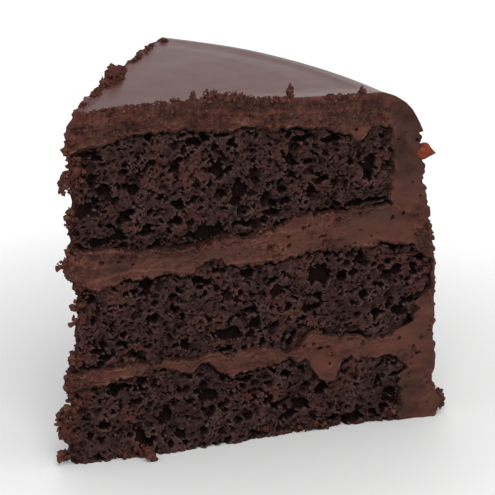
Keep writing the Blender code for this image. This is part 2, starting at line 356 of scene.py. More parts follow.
def blended(values, s, t):
    """Smooth values between the entries of a grid, s and t going from 0 to 1 along its two sides."""
    padded = np.pad(values, 1, mode="reflect", reflect_type="odd")
    first, weights = [], []
    for where, count in zip((s, t), values.shape):
        spot = np.clip(where, 0, 1) * (count - 1)
        start = np.minimum(spot.astype(np.int64), count - 2)
        f = spot - start
        first.append(start)
        weights.append(
            (
                f * (-0.5 + f * (1.0 - 0.5 * f)),
                1 + f * f * (-2.5 + 1.5 * f),
                f * (0.5 + f * (2.0 - 1.5 * f)),
                f * f * (-0.5 + 0.5 * f),
            )
        )
    steps = np.ndindex(4, 4)
    return sum(weights[0][a] * weights[1][b] * padded[first[0] + a, first[1] + b] for a, b in steps)


def distance(tree, start, end):
    """How far the first surface is from start, on the way to end."""
    start, end = Vector(start), Vector(end)
    found = tree.ray_cast(start, (end - start).normalized())[3]
    return np.nan if found is None else found


SURVEYED_TURNS = np.linspace(0.01, 0.99, SURVEY_TURNS) * ANGLE


def surveyed(firsts, seconds, measured):
    """A grid of measures. Where a ray slipped past an edge, its neighbours fill the gap."""
    values = np.array([[measured(first, second) for second in seconds] for first in firsts])
    for line in (*values, *values.T):
        known = np.flatnonzero(np.isfinite(line))
        if len(known):
            line[:] = np.interp(np.arange(len(line)), known, line[known])
    return values


def height_of(name, from_above):
    """The height function of a solid's upper or lower side."""
    side = 1 if from_above else -1

    def measured(radius, turn):
        ends = placed(radius, turn, side * OUTSIDE), placed(radius, turn, -side * OUTSIDE)
        return side * (OUTSIDE - distance(SOLIDS[name], *ends) / TIP_RISE.length)

    values = surveyed(np.linspace(NEAREST, FARTHEST, SURVEY_RADII), SURVEYED_TURNS, measured)
    return lambda radius, turn: blended(values, (radius - NEAREST) / (FARTHEST - NEAREST), turn / ANGLE)


def radius_of(name, low, high, from_inside=False):
    """The radius function of a solid's outer or inner side, between two heights."""

    def measured(turn, height):
        ends = placed(0.0, turn, height), placed(OUTSIDE, turn, height)
        gone = distance(SOLIDS[name], *(ends if from_inside else ends[::-1]))
        return gone if from_inside else OUTSIDE - gone

    values = surveyed(SURVEYED_TURNS, np.linspace(low, high, SURVEY_LEVELS), measured)
    return lambda turn, height: blended(values, turn / ANGLE, (height - low) / (high - low))


SHOULDER = 14.5 * MM
roof_top = height_of("buttercream_coat", True)
glaze_top = height_of("glaze", True)
CORNER_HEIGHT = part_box("sponge_top")[1].z - 6 * MM
wall_outside = radius_of("buttercream_coat", 0.4 * MM, CORNER_HEIGHT - 6 * MM)
wall_inside = radius_of("buttercream_coat", 0.4 * MM, CORNER_HEIGHT, from_inside=True)
rim_radius = radius_of("glaze", CORNER_HEIGHT, CORNER_HEIGHT + 2 * MM)


def shoulder_centre(turn):
    """Radius and height of the middle of the shoulder's round."""
    radius = rim_radius(turn, CORNER_HEIGHT) - SHOULDER
    return radius, glaze_top(radius, turn) - SHOULDER


def shoulder_of(name, from_inside):
    """How far a solid's side is from the middle of the shoulder's round, at every sweep down it."""
    far = 3 * SHOULDER

    def measured(turn, sweep):
        radius, height = shoulder_centre(turn)
        centre = placed(radius, turn, height)
        outer = placed(radius + far * math.sin(sweep), turn, height + far * math.cos(sweep))
        gone = distance(SOLIDS[name], *((centre, outer) if from_inside else (outer, centre)))
        return gone if from_inside else far - gone

    values = surveyed(SURVEYED_TURNS, np.linspace(0.02, 0.98, SURVEY_LEVELS) * math.pi / 2, measured)
    return lambda turn, sweep: blended(values, turn / ANGLE, sweep / (math.pi / 2))


glaze_outside = shoulder_of("glaze", False)
glaze_inside = shoulder_of("glaze", True)


# ------------ bent blocks


def shell(name, counts, shape, uv_rows):
    """The closed skin of a box of quads, bent by shape(u, v, w), which gives its points and their looks.

    uv_rows are the heights of the six sides in the flat map.
    """
    spots = np.stack(np.meshgrid(*(np.arange(count + 1) for count in counts), indexing="ij"), -1)
    on_skin = ((spots == 0) | (spots == np.array(counts))).any(-1)
    number = np.full(on_skin.shape, -1, np.int64)
    number[on_skin] = np.arange(on_skin.sum())
    share = (spots[on_skin] / np.array(counts)).T
    points, looks = shape(*share)
    looks["on_cut"] = (share[1] == 0) | (share[1] == 1) | (share[0] == 0)

    quads, flat_maps = [], []
    row_start = 0.0
    for axis, end, row_height in zip((1, 1, 2, 2, 0, 0), (0, 1, 0, 1, 0, 1), uv_rows):
        others = [a for a in (0, 1, 2) if a != axis]
        ids = np.take(number, -1 if end else 0, axis=axis)
        corners = np.stack((ids[:-1, :-1], ids[1:, :-1], ids[1:, 1:], ids[:-1, 1:]), -1).reshape(-1, 4)
        if (axis == 1) == bool(end):
            corners = corners[:, ::-1]
        quads.append(corners)
        across, up = share[others[0]][corners], share[others[1]][corners]
        flat_maps.append(np.stack((across, row_start + up * row_height * 0.97), -1))
        row_start += row_height
    quads, flat_maps = np.concatenate(quads), np.concatenate(flat_maps)

    piece = smooth_piece(name, points.tolist(), quads.tolist())
    mesh = piece.data
    for look, values in looks.items():
        mesh.attributes.new(look, "FLOAT", "POINT").data.foreach_set("value", values.astype(np.float32))
    mesh.uv_layers.new(name="OFBake").data.foreach_set("uv", flat_maps.astype(np.float32).ravel())

    # The box's own edges stay sharp, so that the cut faces are lit as flat faces
    ends = np.zeros(len(mesh.edges) * 2, np.int32)
    mesh.edges.foreach_get("vertices", ends)
    sides = [share[axis] == end for axis in range(3) for end in (0.0, 1.0)]
    shared = sum((side[ends[0::2]] & side[ends[1::2]]).astype(int) for side in sides)
    mesh.attributes.new("sharp_edge", "BOOLEAN", "EDGE").data.foreach_set("value", shared >= 2)
    return piece


# ------------ relief of the cut faces


def hilly(along, height, sizes, seed):
    """Hills of several sizes on a cut face, as pairs of size and height in millimetres."""
    level, total = seed * 7 * MM, 0
    for step, (size, tall) in enumerate(sizes):
        total = total + tall * MM * noise(along, height, level, size * MM, seed + step)
    return total


def bubbles(along, height, kinds, seed, deepest):
    """Where round holes of these kinds start and end below each point of a face."""
    spans = []
    for index, (size, share, least, most) in enumerate(kinds):
        cell = size * MM
        i, j = np.floor(along / cell).astype(np.int64), np.floor(height / cell).astype(np.int64)
        for step_i, step_j in np.ndindex(3, 3):
            for layer in range(-1, int(deepest / cell) + 1):
                place = (i + step_i - 1, j + step_j - 1, np.full_like(i, layer))
                roll = [lattice(*place, seed + 97 * index + 13 * part) for part in range(5)]
                radius = cell * (least + (most - least) * roll[3] ** 2)
                off_along = along - (place[0] + roll[0]) * cell
                off_height = height - (place[1] + roll[1]) * cell
                centre = (layer + roll[2]) * cell
                half = np.sqrt(np.maximum(radius**2 - off_along**2 - off_height**2, 0))
                half = np.where(roll[4] < share, half, 0)
                spans.append((centre - half, centre + half, half > 0))
    return spans


def sunk(surface, spans, web, passes):
    """How deep a face lies once every hole that breaks through it, or through its neighbour, is open."""
    depth = surface.copy()
    for _ in range(passes):
        for near, far, is_hole in spans:
            opens = is_hole & (near <= depth + web) & (far > depth)
            depth = np.where(opens, far, depth)
    return depth


def covered(spot, along, height, seed):
    """1 inside a named spot of a cut face and 0 outside it, with a ragged edge."""
    place, level, wide, tall = (value * MM for value in spot[:4])
    ragged = 0.3 * waves(along, height, 1.8, seed) + 0.25 * waves(along, height, 0.8, seed + 1)
    reach = np.hypot((along - place) / wide, (height - level) / tall)
    return ease((1.15 + ragged - reach) * 2.5)


def sponge_face(along, height, room, seed, first):
    """Depth, openness and dryness of the crumb on a cut face. room is the distance to the nearest edge."""

    def wavy(size, step):
        return waves(along, height, size, seed + step)

    bend_a = PORE_WARP * wavy(2.6, 1)
    bend_h = PORE_WARP * wavy(2.3, 2)
    fine = 0.2 * MM
    a = along + bend_a + fine * wavy(0.7, 3)
    h = height + bend_h + fine * wavy(0.7, 4)
    surface = hilly(along, height, ((6, 0.7), (2.4, 0.5), (0.9, 0.2)), seed) + SPONGE_SETBACK
    spans = bubbles(a / PORE_FLATNESS, h, PORES, seed, PORE_DEPTH)
    depth = sunk(surface, spans, PORE_WEB, PORE_PASSES)
    if first:
        for tunnel in TUNNELS:
            depth = np.maximum(depth, TUNNEL_DEPTH * covered(tunnel, a, h, seed + 50))
    gap = ease(waves(along, height * 0.3, 7, seed + 9) * 2.5 + 0.2)
    depth = depth + SEAM_GAP * gap * bump(room, 0.8 * MM)
    dry = bump(along, 2.6 * MM) + 0.5 * ease(wavy(6, 10) * 2.0 - 0.3)
    slim = np.minimum(PORE_DEPTH, TIP_SLIMNESS * along + TIP_ALLOWANCE)
    return np.minimum(depth, slim), np.maximum(depth - 0.5 * surface, 0), np.clip(dry, 0, 1)


def crumb_share(radius, height):
    """How much crumb the knife dragged into the buttercream: most in the roof and at the tip."""
    in_roof = rising(height, 84, 4) * falling(radius, 92, 5)
    in_wall = rising(radius, 86, 8)
    return 0.4 + 0.45 * in_roof + 0.5 * bump(radius, 9 * MM) - 0.28 * in_wall * (1 - in_roof)


# Shelves that the knife left in the buttercream: where each starts and ends on the first cut, and its heights
SHELVES = (
    (30, 84, profile((30, 96.6), (36, 95.9), (54, 94.2), (71, 93.3), (84, 93.2))),
    (3, 37, profile((3, 51), (8.5, 52.2), (12.7, 53.1), (18.4, 53.6), (25.5, 53.3), (31, 52.4), (37, 52.9))),
)
SHELF_DROP = 7 * MM
SHELF_STEP = 0.5 * MM


def shelf(radius, height, start, end, level):
    """How far the shelf stands proud, and how much of the painted highlight along its edge is here."""
    line = level(radius) + 0.25 * MM * waves(radius, 0.0, 3, 51)
    there = rising(radius, start, 5) * falling(radius, end, 5)
    there = there * ease((height - line + SHELF_DROP) / (2 * MM))
    return there * ease((line - height) / (0.4 * MM) + 0.5), there * bump(height - line + 0.2 * MM, 0.3 * MM)


def spread_face(radius, turn, height, first):
    """Depth, openness, tone and share of crumb where the knife went through buttercream."""
    seed = other_seed(SPREAD_SEED, first)

    def wavy(size, step):
        return waves(radius, height, size, seed + step)

    room = clear_of_sponge(radius, turn, height)
    crumble = crumb_share(radius, height) + 0.5 * bump(room, 0.9 * MM)
    crumble = crumble + 0.3 * waves(radius, height * 1.6, 6, seed + 9)
    in_roof = rising(height, 86, 4) * falling(radius, 90, 6)
    tone = 0.4 * waves(radius, height * 2.2, 7, seed + 8) - 0.2 * in_roof * ease(radius / (45 * MM))
    surface = hilly(radius, height * 2.0, ((9, 0.25), (3.4, 0.2)), seed)
    if first:
        # The marks' tone holds painted shade in sunk holes and a painted highlight on proud lips
        for mark in SMEARS_AND_PAINTED_LIGHT:
            cover = covered(mark, radius, height, seed + 40)
            tone, crumble = tone + mark[4] * cover, crumble + mark[5] * cover
            surface = surface + mark[6] * MM * cover
        for start, end, level in SHELVES:
            proud, edge = shelf(radius, height, start, end, level)
            # Painted highlight along the shelf's edge
            surface, tone = surface - SHELF_STEP * proud, tone + 0.65 * edge
    crumble = np.clip(crumble, 0, 1)
    wander = height + 0.5 * MM * wavy(3, 2)
    strand = np.clip(1 - 4.5 * np.abs(waves(radius * 0.3, wander, 2.0, seed + 3)), 0, 1)
    strand = strand * ease(0.6 + 1.8 * wavy(5, 4)) * (0.5 + 0.5 * crumble)
    grain = 0.6 * wavy(1.5, 5) + 0.4 * wavy(0.7, 6)
    surface = surface - STRAND_REACH * strand + GRAIN_DEPTH * grain * crumble
    outside = np.maximum(room, 0)
    # Painted light from the relief: proud strands get a painted highlight, sunk grain painted shade, and a
    # painted shade line runs where the buttercream meets the sponge
    tone = tone + 0.45 * strand - 0.7 * grain * crumble - 0.8 * bump(outside, 0.25 * MM)
    # Painted highlight: the lips that curl proud along the edges are painted lighter
    lip = ease(waves(radius + height, 0.0, 4, seed + 30) * 2.0 + 0.4) * bump(room - 0.5 * MM, 0.35 * MM)
    surface = surface - LIP_REACH * lip - SPREAD_PROUD * (1 - bump(outside, 0.35 * MM))
    tone = tone + 0.7 * lip
    a = radius + 0.3 * MM * wavy(1.2, 6)
    h = height + 0.3 * MM * wavy(1.2, 7)
    depth = sunk(surface, bubbles(a / HOLE_FLATNESS, h, AIR_HOLES, seed, HOLE_DEPTH), 0.0, 1)
    return depth, depth - surface, tone, crumble


# ------------ the outline at the tip and the ragged seams

# How far the tip stands out (or is set back) at heights up it
tip_line = profile(
    (0, 0.2), (3, 1.7), (6.5, 0.4), (10, 1.8), (14, 1.4), (16.3, -1.6), (20.6, 2), (23.5, 2.9),
    (27.5, 1.7), (32, -2), (37, -1.3), (40.5, -3), (43.5, -3.1), (47, -3.3), (50.5, -1.8),
    (54.2, 3.2), (57, 2.8), (60, 0.8), (64, 1.2), (68, 2.1), (71, 2.5), (74, 0.4), (76.5, 1.4),
    (79, 1.2), (81.5, -0.6), (84, 0), (86.7, 2.4), (89, 3.2), (91.7, 3), (95, 2.1), (96.6, -1.2),
    (98, -2.2),
)
TIP_START = 1.3 * MM
TIP_FADE = 4.5 * MM


def tip_stand(height, radius):
    """The bisector offset of points near the tip line."""
    ragged = waves(height, 0.0, 2.2, 71) * 0.7 * MM + waves(height, 0.0, 0.8, 72) * 0.35 * MM
    stands = tip_line(height) + ragged
    return stands * np.exp(-radius / TIP_FADE)


def torn(radius, turn, height):
    """Points of the slice, with the ragged line of the tip."""
    return placed(radius, turn, height) - BISECTOR * tip_stand(height, radius)[..., None]


def bent(bends, spot):
    """The sum of bends, each a place, a width and a rise in millimetres."""
    return sum(rise * MM * bump(spot - place * MM, width * MM) for place, width, rise in bends)


def ragged_seam(solid, from_above, seed, *bends):
    """The height function of a solid's side, with bends along the first cut and small waves."""
    seam = height_of(solid, from_above)

    def height(radius, turn):
        x, y = radius * np.cos(turn), radius * np.sin(turn)
        wave = 0.3 * MM * waves(x, y, 4.0, seed) + 0.5 * MM * waves(x, y, 1.8, seed + 1)
        wave = wave + 0.4 * MM * waves(x, y, 0.8, seed + 3)
        wave = wave + 0.6 * MM * waves(x, y, 5.0, seed + 2) * ease(turn * 4)
        return seam(radius, turn) + wave + bent(bends, radius) * bump(turn, 0.4)

    return height


def board(radius, turn):
    return np.zeros_like(radius)


# The seams, and where they rise (or dip) along the first cut: the place, its width and its height
bottom_top = ragged_seam(
    "filling_lower", False, 11,
    (18, 5, 0.6), (27, 5, 1.9), (39, 3.2, 3.3), (46, 3, -0.5), (57, 4, 1.2), (63.5, 4.5, 4.4),
    (69, 2.5, 3.6), (75, 1.8, -0.7), (76.5, 1.8, -2.4), (81, 2, 1.4), (83, 4.5, 2.9), (93, 3.5, 1.7),
)
middle_base = ragged_seam(
    "filling_lower", True, 13,
    (17, 6, 1.3), (36, 4, -0.8), (47, 5, -1.6), (57, 4, -0.8), (64, 4, -2.3), (71, 2.5, 2.4),
    (89, 4, -1.8), (96, 3, -1.4),
)
middle_top = ragged_seam(
    "filling_upper", False, 15,
    (1, 4, 1.4), (7, 4, -0.7), (32, 4, -1.2), (41, 4, 2.8), (49, 4, 0.3), (56, 4, 0.8), (80, 4, 0.6),
    (92, 2.5, 1.2),
)
top_base = ragged_seam(
    "filling_upper", True, 17,
    (5, 4, -0.7), (24, 9, -0.8), (36, 5, -1.3), (46, 2, 0.8), (50, 4, -1), (54, 1, 1.2),
    (64.2, 0.8, 1), (65, 4, 1.4), (69, 0.6, 1.6), (72, 6, 0.8),
)
top_top = ragged_seam(
    "sponge_top", True, 19,
    (3, 5, 2), (14, 7, 1.8), (50, 4, 1.4), (54, 8, 1), (64, 6, 2.4), (72, 5, 2.2),
    (82.6, 1.7, -2), (89, 4.6, 2.1),
)
LAYERS = ((board, bottom_top), (middle_base, middle_top), (top_base, top_top))


# How far the sponge reaches into the coat's wall beyond its plain solid, at heights up the first cut
EDGE_BENDS = (
    (48, 3, 1.8), (43, 4, 2.2), (39, 3, 1.8), (34.5, 1.5, -1.4), (28.8, 1.2, 3.2), (15.5, 1.5, 1.8),
    (77, 12, 1.5),
)
THINNEST_WALL = 0.6 * MM
INTO_WALL = 2.5 * MM


def crumb_edge(turn, height):
    """The radius at which the sponge ends and the coat's wall starts."""
    around = turn * SPONGE_RADIUS
    ragged = 1.6 * MM * waves(around, height, 4.5, 20) + 0.9 * MM * waves(around, height, 1.5, 21)
    ragged = ragged + 0.6 * MM * waves(around, height, 0.7, 22)
    edge = wall_inside(turn, height) + ragged + bent(EDGE_BENDS, height) * bump(turn, 0.4)
    return np.minimum(edge, np.maximum(wall_outside(turn, height) - THINNEST_WALL, wall_inside(turn, height)))


def clear_of_sponge(radius, turn, height):
    """How far points of the buttercream are from the nearest sponge."""
    past = np.maximum(radius - crumb_edge(turn, height), 0)
    nearest = np.full_like(radius, OUTSIDE)
    for base, top in LAYERS:
        outside = np.maximum(base(radius, turn) - height, height - top(radius, turn))
        nearest = np.minimum(nearest, np.hypot(past, np.maximum(outside, 0)))
    return nearest


def cut_into(points, v, face, buried=False):
    """Moves the points of the two cut faces in, and keeps what face(which points, first cut) says of them."""
    hidden = np.ones(len(points)) * buried
    # Buried sides against the sponge get painted shade (a dark tone) and are full of crumb
    looks = {"openness": 0 * hidden, "tone": -0.8 * hidden, "crumble": hidden}
    for end, outwards in ((0.0, OUT_OF_FRONT), (1.0, OUT_OF_BACK)):
        chosen = v == end
        depth, openness, tone, crumble = face(chosen, end == 0.0)
        points[chosen] -= outwards * depth[:, None]
        for look, value in (("openness", openness / MM), ("tone", tone), ("crumble", crumble)):
            looks[look][chosen] = value
    points[:, 2] = np.maximum(points[:, 2], 0)
    return points, looks


def cut_spread(points, v, where, buried):
    """Cuts a piece of buttercream. where holds the radius, turn and height of its points."""

    def face(chosen, first):
        return spread_face(*(row[chosen] for row in where), first)

    return cut_into(points, v, face, buried)


def other_seed(seed, first):
    return seed if first else seed + 500


# How finely the pieces are drawn outwards, round and up, and the heights of their six sides in the flat map
FINE = 0.28 * MM
LAYER_COLUMNS = 350
LAYER_TURNS = 12
FILLING_GRID = (LAYER_COLUMNS, LAYER_TURNS, 44)
ROOF_GRID = (430, 8, 56)
WALL_GRID = (230, 130, 44)
GLAZE_GRID = (300, 90, 10)
SPONGE_ROWS = (0.38, 0.38, 0.06, 0.06, 0.06, 0.06)
SPREAD_ROWS = (0.3, 0.3, 0.1, 0.1, 0.1, 0.1)
WALL_ROWS = (0.15, 0.15, 0.05, 0.55, 0.05, 0.05)
GLAZE_ROWS = (0.1, 0.1, 0.1, 0.6, 0.05, 0.05)


def crests(depth):
    """1 on the thin webs between pores of a grid of depths, 0 in the pores and on flat crumb: where the webs
    get a painted highlight.
    """
    around = sum(np.roll(depth, step, axis) for step in (-2, -1, 1, 2) for axis in (0, 1)) / 8
    return np.clip((around - depth) / (0.9 * MM) - 0.35, 0, 1)


FOOT_SPREAD = 3.0 * MM
FOOT_RISE = 9 * MM


def foot_spread(radius, height):
    """How far the foot of the first cut settled outwards, most near the tip."""
    return FOOT_SPREAD * (1 - ease(height / FOOT_RISE)) * falling(radius, 74, 36)


def make_sponge(name, base, top, seed):
    """A sponge layer with its crumb open on both cut faces."""
    spots = np.array((20, 50, 80)) * MM
    thickness = np.mean(top(spots, 0.0) - base(spots, 0.0))

    def shape(u, v, w):
        turn = v * ANGLE
        far = np.full_like(u, FARTHEST)
        outer = crumb_edge(turn, mix(base(far, turn), top(far, turn), w))
        level = mix(base(outer, turn), top(outer, turn), w)
        outer = np.minimum(crumb_edge(turn, level) + 1.0 * MM, wall_outside(turn, level) - 0.3 * MM)
        radius = mix(TIP_START, outer, u)
        low, high = base(radius, turn), top(radius, turn)
        height = mix(low, high, w)
        points = torn(radius, turn, height)
        room = np.minimum(high - height, outer - radius)
        if base is not board:
            room = np.minimum(room, height - low)

        def face(chosen, first):
            own_seed = other_seed(seed, first)
            depth, openness, dry = sponge_face(radius[chosen], height[chosen], room[chosen], own_seed, first)
            # The crests go in the crumble slot, and the sponge's finish paints them as a highlight
            crest_highlight = crests(depth.reshape(-1, counts[2] + 1)).ravel()
            if first:
                depth = depth - foot_spread(radius[chosen], height[chosen])
            return depth, openness, dry, crest_highlight

        return cut_into(points, v, face)

    counts = (LAYER_COLUMNS, LAYER_TURNS, int(thickness / FINE))
    return shell(name, counts, shape, SPONGE_ROWS)


def make_filling(name, base, top):
    """A filling between two sponge layers. Its edges lap a little over both."""

    def shape(u, v, w):
        turn = v * ANGLE
        far = np.full_like(u, FARTHEST)
        outer = crumb_edge(turn, mix(base(far, turn), top(far, turn), w)) + INTO_WALL
        radius = mix(TIP_START, np.minimum(outer, wall_outside(turn, base(far, turn)) - THINNEST_WALL), u)
        low, high = base(radius, turn) - OVERLAP, top(radius, turn) + OVERLAP
        height = mix(low, high, w)
        return cut_spread(torn(radius, turn, height), v, (radius, turn, height), (w == 0) | (w == 1))

    return shell(name, FILLING_GRID, shape, SPREAD_ROWS)


FLAT_SHARE = 0.8
FLAT_BLEND = 14 * MM
LIP_SWEEP = math.radians(80)
TUCK = 0.4 * MM
UNDER_LIP = 0.55
LIP_WANDER = math.radians(5)


def lip_sweep(turn):
    """How far down the shoulder the glaze ran before it set."""
    return LIP_SWEEP + LIP_WANDER * waves(turn * WALL_RADIUS, 0.0, 9, 81) * ease(turn * 5)


def skin(u, turn, flat, reach):
    """Radius and height of a skin that runs over the flat top, then down the shoulder to its lip."""
    centre_radius, centre_height = shoulder_centre(turn)
    along = np.clip(u / FLAT_SHARE, 0, 1)
    sweep = np.clip((u - FLAT_SHARE) / (1 - FLAT_SHARE), 0, 1) * lip_sweep(turn)
    flat_radius = mix(TIP_START, centre_radius, along)
    on_flat = u <= FLAT_SHARE
    distance_out = reach(turn, sweep)
    step = centre_height + reach(turn, np.zeros_like(turn)) - flat(centre_radius, turn)
    level = flat(flat_radius, turn) + step * ease(1 - (centre_radius - flat_radius) / FLAT_BLEND)
    radius = np.where(on_flat, flat_radius, centre_radius + distance_out * np.sin(sweep))
    height = np.where(on_flat, level, centre_height + distance_out * np.cos(sweep))
    return radius, height, sweep


def make_roof(name, sponge_top):
    """The coat's roof, between the top sponge and the glaze, as far as the glaze's lip."""

    def shape(u, v, w):
        turn = v * ANGLE
        outer_radius, outer_height, sweep = skin(u, turn, roof_top, glaze_inside)
        centre_radius, _ = shoulder_centre(turn)
        corner = crumb_edge(turn, CORNER_HEIGHT)
        on_shoulder = mix(centre_radius, corner, sweep / lip_sweep(turn))
        inner_radius = np.where(u <= FLAT_SHARE, outer_radius, on_shoulder)
        inner_height = sponge_top(inner_radius, turn) - OVERLAP
        radius, height = mix(inner_radius, outer_radius, w), mix(inner_height, outer_height, w)
        return cut_spread(torn(radius, turn, height), v, (radius, turn, height), w == 0)

    return shell(name, ROOF_GRID, shape, SPREAD_ROWS)


def make_wall(name, sponge_top, seed):
    """The coat's wall, from the glaze's lip down to the smeared foot."""

    def shape(u, v, w):
        turn = v * ANGLE
        centre_radius, centre_height = shoulder_centre(turn)
        corner = crumb_edge(turn, CORNER_HEIGHT)
        inner_top = sponge_top(corner, turn) - OVERLAP
        inner_height = mix(inner_top, 0.0, u)
        inner_radius = mix(corner, crumb_edge(turn, inner_height) - OVERLAP, ease(u * 12))
        sweep = lip_sweep(turn)
        lip_reach = mix(glaze_inside(turn, sweep), glaze_outside(turn, sweep), UNDER_LIP)
        lip_height = centre_height + lip_reach * np.cos(sweep)
        lip_radius = centre_radius + lip_reach * np.sin(sweep)
        outer_height = mix(lip_height, 0.0, u)
        below = wall_outside(turn, outer_height)
        close_under = rim_radius(turn, CORNER_HEIGHT) - TUCK
        below = mix(np.maximum(below, close_under), below, ease((lip_height - outer_height) / (9 * MM)))
        outer_radius = mix(lip_radius, below, ease((lip_height - outer_height) / (1.2 * MM)))
        radius, height = mix(inner_radius, outer_radius, w), mix(inner_height, outer_height, w)
        points = placed(radius, turn, height)
        outwards = ALONG * np.cos(turn)[:, None] + ACROSS * np.sin(turn)[:, None]
        around = turn * WALL_RADIUS
        knife = hilly(around, height * 2.2, ((14, 0.5), (4, 0.16), (1.3, 0.06)), seed)
        rough = hilly(around, height, ((2.2, 1.0), (0.8, 0.6)), seed + 5) * bump(turn, 0.03)
        points += outwards * ((knife + rough) * (w == 1))[:, None]
        return cut_spread(points, v, (radius, turn, height), w == 0)

    return shell(name, WALL_GRID, shape, WALL_ROWS)


# How high the crumbly ridge stands along the glaze's edge on the first cut
ridge_height = profile(
    (0, 0.2), (6, 0.3), (13, 0.4), (18, 0.6), (25, 1.1), (32, 1.4), (38, 1.5), (44, 1.2), (50, 0.5),
    (58, 0.1), (70, 0.1), (80, 0.2), (86, 0.2), (110, 0),
)
RIDGE_WIDTH = 1.3 * MM
# Where the glaze's cut edge holds less crumb and has a painted highlight
RIM_PLACE = 70 * MM
RIM_WIDTH = 10 * MM


def crumb_ridge(radius, turn):
    """The knife pushed up a ragged ridge along the glaze's edges, highest on the first cut near the tip."""
    ragged = 1 + 0.25 * waves(radius, 0.0, 2.6, 61) + 0.25 * waves(radius, 0.0, 0.9, 62)
    front = ridge_height(radius) * ragged
    wander = 0.5 * waves(radius, turn * 60 * MM, 1.3, 63) + 1
    back = 0.6 * MM * (1 + waves(radius, 0.0, 3, 64))
    shoulder_fade = falling(radius, 90, 8)
    front = front * bump(radius * np.sin(turn), RIDGE_WIDTH * wander)
    back = back * bump(radius * np.sin(ANGLE - turn), RIDGE_WIDTH * wander)
    return (front + back) * shoulder_fade


FULLNESS = 0.5 * MM


def fuller(radius, turn, height):
    """How much fuller the glaze lies than its plain solid, between the cuts and over the shoulder."""
    share = mix(rising(radius, 82, 8), rising(radius, 25, 35), ease(2 * turn))
    return FULLNESS * share * rising(height, 84, 8) * ease(3 * (ANGLE - turn))


def make_glaze(name):
    """The glaze: smooth over the top, rolled over the shoulder, with a crumbly cut edge."""

    def shape(u, v, w):
        turn = v * ANGLE
        inner_radius, inner_height, _ = skin(u, turn, roof_top, glaze_inside)
        outer_radius, outer_height, _ = skin(u, turn, glaze_top, glaze_outside)
        radius, height = mix(inner_radius, outer_radius, w), mix(inner_height, outer_height, w)
        points = torn(radius, turn, height)
        swell = hilly(points[:, 0], points[:, 1], ((30, 0.2), (10, 0.012)), SPREAD_SEED)
        points[:, 2] += swell * (w == 1)
        ridge = crumb_ridge(radius, turn)
        points[:, 2] += (ridge + fuller(radius, turn, height)) * w

        def face(chosen, first):
            depth, openness, tone, crumble = spread_face(radius[chosen], turn[chosen], height[chosen], first)
            # Painted highlight along the upper part of the cut edge, which also holds less crumb
            rim_highlight = ease((w[chosen] - 0.6) * 3) * bump(radius[chosen] - RIM_PLACE, RIM_WIDTH)
            return depth, openness, tone + rim_highlight, crumble * (1 - 0.8 * rim_highlight)

        return cut_into(points, v, face)

    return shell(name, GLAZE_GRID, shape, GLAZE_ROWS)


# ------------ nodes of shaders and geometry


class Value:
    """A shader socket that takes part in Python expressions."""

    def __init__(self, finish, socket):
        self.finish, self.socket = finish, socket

    def _maths(self, operation, other):
        return self.finish.node("ShaderNodeMath", {0: self, 1: other}, operation=operation)

    def __add__(self, other):
        return self._maths("ADD", other)

    def __sub__(self, other):
        return self._maths("SUBTRACT", other)

    def __mul__(self, other):
        return self._maths("MULTIPLY", other)


def feed(tree, socket, value):
    """Links a socket to what another node gives, or sets it to a plain value."""
    value = value.socket if isinstance(value, Value) else value
    if isinstance(value, bpy.types.NodeSocket):
        tree.links.new(value, socket)
    else:
        socket.default_value = (*value, 1) if socket.type == "RGBA" else value


def new_node(tree, kind, sockets, output=0, **settings):
    """Adds a node with these settings and sockets, and returns one of its outputs."""
    made = tree.nodes.new(kind)
    for name, setting in settings.items():
        setattr(made, name, setting)
    for name, value in sockets.items():
        feed(tree, made.inputs[name], value)
    return made.outputs[output]


# ------------ crumbs


ON_FLOOR = 0.05 * MM
LUMP_DETAIL = 2


def torn_lump(centre, size, squash, seed):
    """Points and faces of one torn crumb: a ball of about this size, pushed in and drawn out by noise."""
    ball, faces = ball_of(LUMP_DETAIL)
    x, y, z = ball.T
    swell = 1 + 0.5 * noise(x, y, z, 0.8, seed) + 0.38 * noise(x, y, z, 0.42, seed + 1)
    swell = swell + 0.2 * noise(x, y, z, 0.2, seed + 2)
    swell = swell + 1.2 * np.clip(noise(x, y, z, 0.5, seed + 3) - 0.3, 0, 1)
    return centre + ball * np.maximum(swell, 0.25)[:, None] * size * np.array(squash), faces


def crumb_cluster(name, clusters):
    """One mesh of many clusters. Each starts on the cake and grows along a line, getting smaller."""
    points, faces = [], []
    for index, (start, growth, size, count) in enumerate(clusters):
        for part in range(count):
            roll = [lattice(index, part, axis, 5) for axis in range(6)]
            share = part / max(count - 1, 1)
            scatter = (np.array(roll[:3]) - 0.5) * size * (1.7 - 0.7 * share)
            own = size * (0.34 + 0.42 * roll[3] ** 2) * (1 - 0.3 * share)
            squash = (0.7 + 0.6 * roll[4], 0.7 + 0.6 * roll[5], 0.7 + 0.6 * roll[3])
            middle = start + growth * share + scatter
            lump_points, lump_faces = torn_lump(middle, own, squash, index * 40 + part)
            lump_points[:, 2] = np.maximum(lump_points[:, 2], ON_FLOOR)
            faces += [[len(points) + corner for corner in face] for face in lump_faces]
            points += list(lump_points)
    return smooth_piece(name, points, faces)


def at_tip(height, out):
    """A place this far out of the ragged tip."""
    stand = tip_stand(height, TIP_START) - TIP_START
    return np.array(tip_at(height)) - BISECTOR * (stand + out)


def on_top(radius, turn, above):
    height = glaze_top(radius, turn)
    return placed(radius, turn, height + above + fuller(radius, turn, height))


def on_wall(turn, height, out):
    return placed(wall_outside(turn, height) + out, turn, height)


